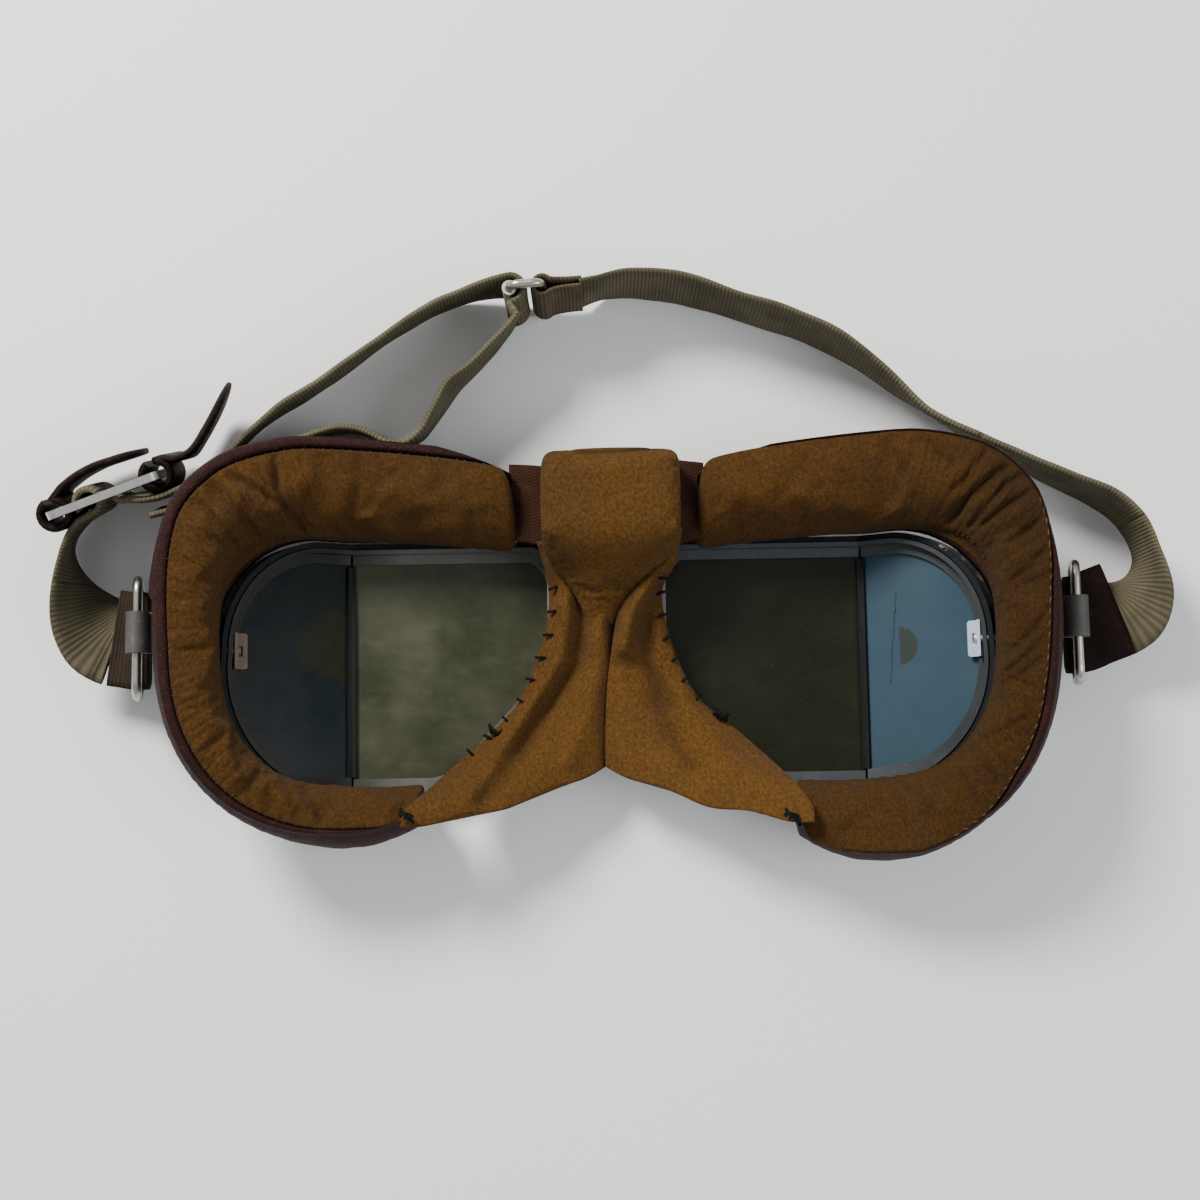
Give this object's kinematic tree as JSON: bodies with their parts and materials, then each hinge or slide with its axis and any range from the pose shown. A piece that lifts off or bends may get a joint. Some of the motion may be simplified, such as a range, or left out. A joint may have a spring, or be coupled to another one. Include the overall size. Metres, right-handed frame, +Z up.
{
  "type": "flying goggles",
  "caption": "Folding flying goggles: hinged metal frames with bent two-pane glass, suede cushions, leather nose flaps and a webbing head strap with buckle and adjuster.",
  "frame": {"origin": "on the table, under the middle of the whole with its straps laid out", "axes": "+X to the wearer's left temple as the goggles lie lens side down, +Y to the brow and the head strap, +Z up, to the face"},
  "size_m": [0.2546, 0.1329, 0.0366],
  "materials": {
    "frame_paint": "satin",
    "bezel_paint": "satin",
    "glass_left": "hazy",
    "glass_right": "smooth",
    "glass_left_side": "smooth",
    "glass_right_side": "scratched",
    "hinge_steel": "satin",
    "clip_bright": "satin",
    "clip_dull": "worn",
    "screw_steel": "satin",
    "bracket_grey": "worn",
    "plated_ring": "worn",
    "suede": "napped",
    "felt": "matt",
    "oxblood": "satin",
    "chamois": "napped",
    "tape": "ribbed",
    "webbing": "ribbed",
    "end_leather": "matt",
    "tab_leather": "matt",
    "buckle_plate": "bright"
  },
  "bodies": {
    "bridge": {"hinge_pin": "hinge_steel", "brow_pad": "suede", "bridge_leather": "chamois", "left_brow_tape": "tape", "right_brow_tape": "tape", "left_nose_flap": "chamois", "right_nose_flap": "chamois", "strap_left": "webbing", "strap_loop": "webbing", "strap_right": "webbing", "tab_buckle": "buckle_plate"},
    "right_cup": {"right_frame": "frame_paint", "right_bezel": "bezel_paint", "right_divider": "frame_paint", "right_front_lens": "glass_right", "right_side_lens": "glass_right_side", "right_hinge_leaf": "hinge_steel", "right_hinge_rivets": "screw_steel", "right_temple_clip": "clip_bright", "right_clip_screw": "screw_steel", "right_ring_bracket": "bracket_grey", "right_bracket_rivets": "screw_steel", "right_cushion_cover": "suede", "right_cushion_core": "felt", "right_cushion_skirt": "oxblood"},
    "left_cup": {"left_frame": "frame_paint", "left_bezel": "bezel_paint", "left_divider": "frame_paint", "left_front_lens": "glass_left", "left_side_lens": "glass_left_side", "left_hinge_leaf": "hinge_steel", "left_hinge_rivets": "screw_steel", "left_temple_clip": "clip_dull", "left_clip_screw": "screw_steel", "left_ring_bracket": "bracket_grey", "left_bracket_rivets": "screw_steel", "left_cushion_cover": "suede", "left_cushion_core": "felt", "left_cushion_skirt": "oxblood"},
    "right_ring": {"right_strap_ring": "plated_ring", "right_strap_end": "end_leather"},
    "left_ring": {"left_strap_ring": "plated_ring", "left_strap_hem": "webbing"},
    "adjuster": {"adjuster_loop": "plated_ring", "adjuster_roller": "buckle_plate", "adjuster_hem": "webbing"},
    "outer_tab": {"pull_tab_outer": "tab_leather"},
    "inner_tab": {"pull_tab_inner": "tab_leather"}
  },
  "joints": [
    {"name": "right_fold", "type": "hinge", "parent": "bridge", "child": "right_cup", "pos_m": [0.0005, -0.0084, 0.0057], "axis": [0, -1, 0], "range_deg": [0, 12], "deforming": ["left_nose_flap", "right_nose_flap", "brow_pad", "bridge_leather", "left_brow_tape", "right_brow_tape", "strap_left", "strap_loop", "strap_right"]},
    {"name": "left_fold", "type": "hinge", "parent": "bridge", "child": "left_cup", "pos_m": [0.0005, -0.0084, 0.0057], "axis": [0, 1, 0], "range_deg": [0, 12], "deforming": ["left_nose_flap", "right_nose_flap", "brow_pad", "bridge_leather", "left_brow_tape", "right_brow_tape", "strap_left", "strap_loop", "strap_right"]},
    {"name": "right_ring_swing", "type": "hinge", "parent": "right_cup", "child": "right_ring", "pos_m": [0.105, -0.0161, 0.0205], "axis": [0, -1, 0], "range_deg": [0, 60], "deforming": ["strap_right"]},
    {"name": "left_ring_swing", "type": "hinge", "parent": "left_cup", "child": "left_ring", "pos_m": [-0.104, -0.0161, 0.0205], "axis": [0, 1, 0], "range_deg": [0, 60], "deforming": ["strap_left"]},
    {"name": "adjuster_slide", "type": "slide", "parent": "bridge", "child": "adjuster", "axis": [0.9976, 0.0698, 0], "range_m": [-0.008, 0.008], "deforming": ["strap_loop", "strap_right"]},
    {"name": "outer_tab_swing", "type": "hinge", "parent": "bridge", "child": "outer_tab", "pos_m": [-0.12315, 0.0135, 0.0133], "axis": [0.081, -0.2189, 0.9724], "range_deg": [0, 40]},
    {"name": "inner_tab_swing", "type": "hinge", "parent": "bridge", "child": "inner_tab", "pos_m": [-0.10045, 0.0219, 0.0133], "axis": [0.081, -0.2189, 0.9724], "range_deg": [-8, 25]}
  ],
  "couplings": [
    {"joint": "left_fold", "follows": "right_fold", "ratio": 1}
  ]
}
